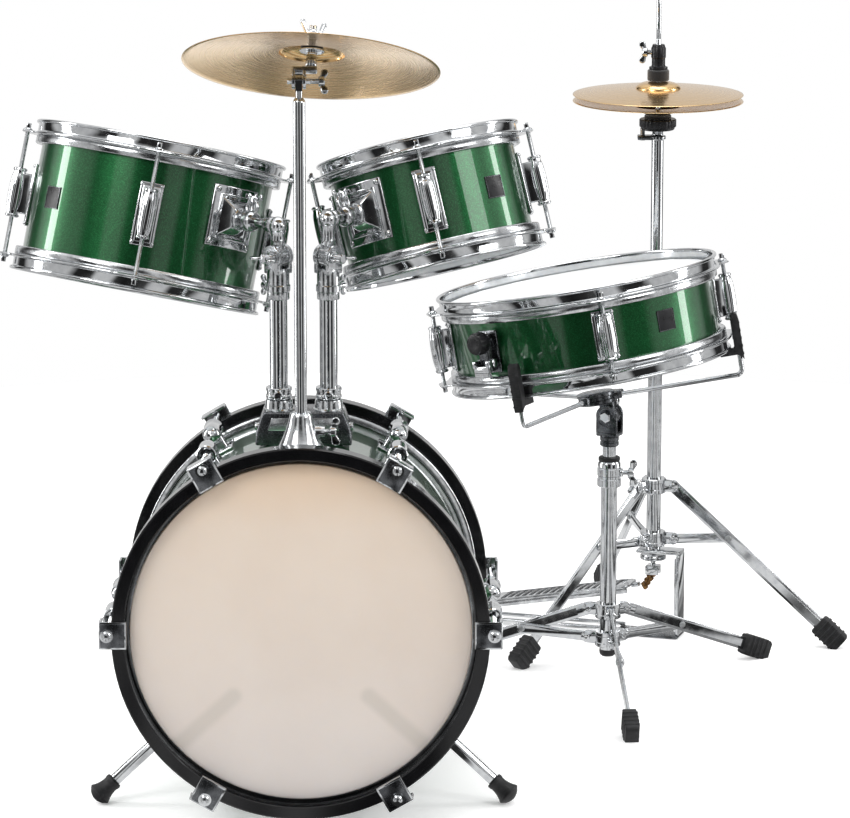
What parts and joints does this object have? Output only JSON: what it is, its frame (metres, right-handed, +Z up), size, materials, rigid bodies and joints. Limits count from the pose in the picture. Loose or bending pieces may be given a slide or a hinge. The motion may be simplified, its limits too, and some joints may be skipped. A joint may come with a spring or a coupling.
{
  "type": "acoustic drum kit",
  "caption": "Compact acoustic drum kit: green bass drum with toms and crash cymbal on its shell, tilted snare on a stand, and a pedal hi-hat.",
  "frame": {"origin": "on the floor, in the middle of the kit's bounding box", "axes": "+X to the kit's right as the audience sees it, +Y towards the player, +Z up"},
  "size_m": [0.9742, 1.0923, 0.8479],
  "materials": {
    "wrap": "deep green high-gloss wrap",
    "hoop": "gloss black lacquer",
    "film": "coated polyester film",
    "chrome": "bright chrome plate",
    "cast": "satin cast alloy",
    "dark_cast": "polished dark casting",
    "brass": "lathed and lacquered",
    "steel": "zinc-plated steel"
  },
  "bodies": {
    "root": {"bass_shell": "wrap", "bass_hoops": "hoop", "bass_heads": "film", "bass_lugs": "chrome", "bass_claws": "chrome", "shell_castings": "cast", "tom_mount": "dark_cast", "snare_base_tube": "chrome", "hihat_frame": "chrome"},
    "spur_left": {"spur_left": "chrome"},
    "spur_right": {"spur_right": "chrome"},
    "post_left": {"post_left": "chrome"},
    "tilter_left": {"tilter_left": "chrome"},
    "arm_left": {"arm_left": "chrome"},
    "tom_left": {"tom_left_shell": "wrap", "tom_left_hoops": "chrome", "tom_left_heads": "film", "tom_left_lugs": "chrome", "tom_left_bracket": "chrome"},
    "post_right": {"post_right": "chrome"},
    "tilter_right": {"tilter_right": "chrome"},
    "arm_right": {"arm_right": "chrome"},
    "tom_right": {"tom_right_shell": "wrap", "tom_right_hoops": "chrome", "tom_right_heads": "film", "tom_right_lugs": "chrome", "tom_right_bracket": "chrome"},
    "crash_pole": {"crash_pole": "chrome"},
    "crash_tilter": {"crash_tilter": "chrome"},
    "crash_cymbal": {"crash_cymbal": "brass"},
    "snare_upper": {"snare_upper_tube": "chrome", "snare_tilter": "dark_cast"},
    "snare": {"snare_shell": "wrap", "snare_hoops": "chrome", "snare_heads": "film", "snare_lugs": "chrome", "snare_wires": "steel", "snare_strainer": "dark_cast", "snare_basket": "chrome"},
    "snare_lever": {"snare_lever": "chrome"},
    "snare_collar": {"snare_collar": "chrome"},
    "snare_leg_1": {"snare_leg_1": "chrome"},
    "snare_brace_1": {"snare_brace_1": "chrome"},
    "snare_leg_2": {"snare_leg_2": "chrome"},
    "snare_brace_2": {"snare_brace_2": "chrome"},
    "snare_leg_3": {"snare_leg_3": "chrome"},
    "snare_brace_3": {"snare_brace_3": "chrome"},
    "hihat_collar": {"hihat_collar": "chrome"},
    "hihat_leg_1": {"hihat_leg_1": "chrome"},
    "hihat_brace_1": {"hihat_brace_1": "chrome"},
    "hihat_leg_2": {"hihat_leg_2": "chrome"},
    "hihat_brace_2": {"hihat_brace_2": "chrome"},
    "hihat_leg_3": {"hihat_leg_3": "chrome"},
    "hihat_brace_3": {"hihat_brace_3": "chrome"},
    "hihat_upper": {"hihat_upper_tube": "chrome", "hihat_seat": "dark_cast", "hihat_cymbal_bottom": "brass"},
    "hihat_footboard": {"hihat_footboard": "steel"},
    "hihat_rod": {"hihat_rod": "chrome", "hihat_cymbal_top": "brass"}
  },
  "joints": [
    {"name": "spur_left_slide", "type": "slide", "parent": "root", "child": "spur_left", "axis": [0.734, 0.1851, 0.6534], "range_m": [0, 0.05]},
    {"name": "spur_right_slide", "type": "slide", "parent": "root", "child": "spur_right", "axis": [-0.734, 0.1851, 0.6534], "range_m": [0, 0.05]},
    {"name": "post_left_height", "type": "slide", "parent": "root", "child": "post_left", "axis": [0, 0, 1], "range_m": [0, 0.03]},
    {"name": "tom_left_swivel", "type": "hinge", "parent": "post_left", "child": "tilter_left", "pos_m": [-0.1805, -0.307, 0.57871], "axis": [0, 0, 1], "range_deg": [0, 30]},
    {"name": "tom_left_ratchet", "type": "hinge", "parent": "tilter_left", "child": "arm_left", "pos_m": [-0.1805, -0.307, 0.57871], "axis": [-0.682, -0.7314, 0], "range_deg": [-12, 12]},
    {"name": "tom_left_tilt", "type": "hinge", "parent": "arm_left", "child": "tom_left", "pos_m": [-0.1805, -0.307, 0.61171], "axis": [-0.7314, 0.682, 0], "range_deg": [-16, 14]},
    {"name": "post_right_height", "type": "slide", "parent": "root", "child": "post_right", "axis": [0, 0, 1], "range_m": [0, 0.03]},
    {"name": "tom_right_swivel", "type": "hinge", "parent": "post_right", "child": "tilter_right", "pos_m": [-0.1275, -0.307, 0.57871], "axis": [0, 0, 1], "range_deg": [-30, 0]},
    {"name": "tom_right_ratchet", "type": "hinge", "parent": "tilter_right", "child": "arm_right", "pos_m": [-0.1275, -0.307, 0.57871], "axis": [-0.7133, 0.7009, 0], "range_deg": [-12, 12]},
    {"name": "tom_right_tilt", "type": "hinge", "parent": "arm_right", "child": "tom_right", "pos_m": [-0.1275, -0.307, 0.61871], "axis": [0.7009, 0.7133, 0], "range_deg": [-14, 18]},
    {"name": "crash_height", "type": "slide", "parent": "root", "child": "crash_pole", "axis": [0, 0, 1], "range_m": [0, 0.03]},
    {"name": "crash_tilt", "type": "hinge", "parent": "crash_pole", "child": "crash_tilter", "pos_m": [-0.154, -0.425, 0.78186], "axis": [1, 0, 0], "range_deg": [-15, 25]},
    {"name": "crash_spin", "type": "hinge", "parent": "crash_tilter", "child": "crash_cymbal", "pos_m": [-0.14048, -0.40932, 0.8197], "axis": [0.0523, 0.3822, 0.9226], "continuous": true},
    {"name": "snare_height", "type": "slide", "parent": "root", "child": "snare_upper", "axis": [0, 0, 1], "range_m": [-0.004, 0.06]},
    {"name": "snare_tilt", "type": "hinge", "parent": "snare_upper", "child": "snare", "pos_m": [0.188, 0.078, 0.324], "axis": [0.4305, 0.9026, 0], "range_deg": [-8, 10.7]},
    {"name": "snare_throw_off", "type": "hinge", "parent": "snare", "child": "snare_lever", "pos_m": [0.04512, -0.03961, 0.40893], "axis": [-0.6862, 0.7062, -0.1745], "range_deg": [0, 70]},
    {"name": "snare_fold", "type": "slide", "parent": "root", "child": "snare_collar", "axis": [0, 0, 1], "range_m": [0, 0.13774]},
    {"name": "snare_leg_1_fold", "type": "hinge", "parent": "snare_collar", "child": "snare_leg_1", "pos_m": [0.20778, 0.09159, 0.092], "axis": [-0.5664, 0.8241, 0], "range_deg": [0, 56.3]},
    {"name": "snare_brace_1_fold", "type": "hinge", "parent": "root", "child": "snare_brace_1", "pos_m": [0.20778, 0.09159, 0.0585], "axis": [0.5664, -0.8241, 0], "range_deg": [0, 77.16]},
    {"name": "snare_leg_2_fold", "type": "hinge", "parent": "snare_collar", "child": "snare_leg_2", "pos_m": [0.16634, 0.08833, 0.092], "axis": [-0.4305, -0.9026, 0], "range_deg": [0, 56.3]},
    {"name": "snare_brace_2_fold", "type": "hinge", "parent": "root", "child": "snare_brace_2", "pos_m": [0.16634, 0.08833, 0.0585], "axis": [0.4305, 0.9026, 0], "range_deg": [0, 77.16]},
    {"name": "snare_leg_3_fold", "type": "hinge", "parent": "snare_collar", "child": "snare_leg_3", "pos_m": [0.18988, 0.05407, 0.092], "axis": [0.9969, 0.0785, 0], "range_deg": [0, 56.3]},
    {"name": "snare_brace_3_fold", "type": "hinge", "parent": "root", "child": "snare_brace_3", "pos_m": [0.18988, 0.05407, 0.0585], "axis": [-0.9969, -0.0785, 0], "range_deg": [0, 77.16]},
    {"name": "hihat_fold", "type": "slide", "parent": "root", "child": "hihat_collar", "axis": [0, 0, 1], "range_m": [0, 0.09076]},
    {"name": "hihat_leg_1_fold", "type": "hinge", "parent": "hihat_collar", "child": "hihat_leg_1", "pos_m": [0.27501, 0.30618, 0.187], "axis": [0.284, 0.9588, 0], "range_deg": [0, 37.06]},
    {"name": "hihat_brace_1_fold", "type": "hinge", "parent": "root", "child": "hihat_brace_1", "pos_m": [0.27501, 0.30618, 0.121], "axis": [-0.284, -0.9588, 0], "range_deg": [0, 69.29]},
    {"name": "hihat_leg_2_fold", "type": "hinge", "parent": "hihat_collar", "child": "hihat_leg_2", "pos_m": [0.2464, 0.33634, 0.187], "axis": [-0.9724, -0.2334, 0], "range_deg": [0, 37.06]},
    {"name": "hihat_brace_2_fold", "type": "hinge", "parent": "root", "child": "hihat_brace_2", "pos_m": [0.2464, 0.33634, 0.121], "axis": [0.9724, 0.2334, 0], "range_deg": [0, 69.29]},
    {"name": "hihat_leg_3_fold", "type": "hinge", "parent": "hihat_collar", "child": "hihat_leg_3", "pos_m": [0.23459, 0.29648, 0.187], "axis": [0.6884, -0.7254, 0], "range_deg": [0, 37.06]},
    {"name": "hihat_brace_3_fold", "type": "hinge", "parent": "root", "child": "hihat_brace_3", "pos_m": [0.23459, 0.29648, 0.121], "axis": [-0.6884, 0.7254, 0], "range_deg": [0, 69.29]},
    {"name": "hihat_height", "type": "slide", "parent": "root", "child": "hihat_upper", "axis": [0, 0, 1], "range_m": [-0.08, 0]},
    {"name": "hihat_pedal", "type": "hinge", "parent": "root", "child": "hihat_footboard", "pos_m": [0.00282, 0.39396, 0.014], "axis": [0.309, 0.9511, 0], "range_deg": [0, 1.2]},
    {"name": "hihat_rod_slide", "type": "slide", "parent": "root", "child": "hihat_rod", "axis": [0, 0, 1], "range_m": [-0.00509, 0], "stiffness_N_per_m": 900, "springref_m": 0.02}
  ],
  "couplings": [
    {"joint": "snare_leg_1_fold", "follows": "snare_fold", "rad_per_m": 7.1333},
    {"joint": "snare_brace_1_fold", "follows": "snare_fold", "rad_per_m": 9.7761},
    {"joint": "snare_leg_2_fold", "follows": "snare_fold", "rad_per_m": 7.1333},
    {"joint": "snare_brace_2_fold", "follows": "snare_fold", "rad_per_m": 9.7761},
    {"joint": "snare_leg_3_fold", "follows": "snare_fold", "rad_per_m": 7.1333},
    {"joint": "snare_brace_3_fold", "follows": "snare_fold", "rad_per_m": 9.7761},
    {"joint": "hihat_leg_1_fold", "follows": "hihat_fold", "rad_per_m": 7.1258},
    {"joint": "hihat_brace_1_fold", "follows": "hihat_fold", "rad_per_m": 13.324},
    {"joint": "hihat_leg_2_fold", "follows": "hihat_fold", "rad_per_m": 7.1258},
    {"joint": "hihat_brace_2_fold", "follows": "hihat_fold", "rad_per_m": 13.324},
    {"joint": "hihat_leg_3_fold", "follows": "hihat_fold", "rad_per_m": 7.1258},
    {"joint": "hihat_brace_3_fold", "follows": "hihat_fold", "rad_per_m": 13.324},
    {"joint": "hihat_rod_slide", "follows": "hihat_pedal", "m_per_rad": -0.238}
  ]
}
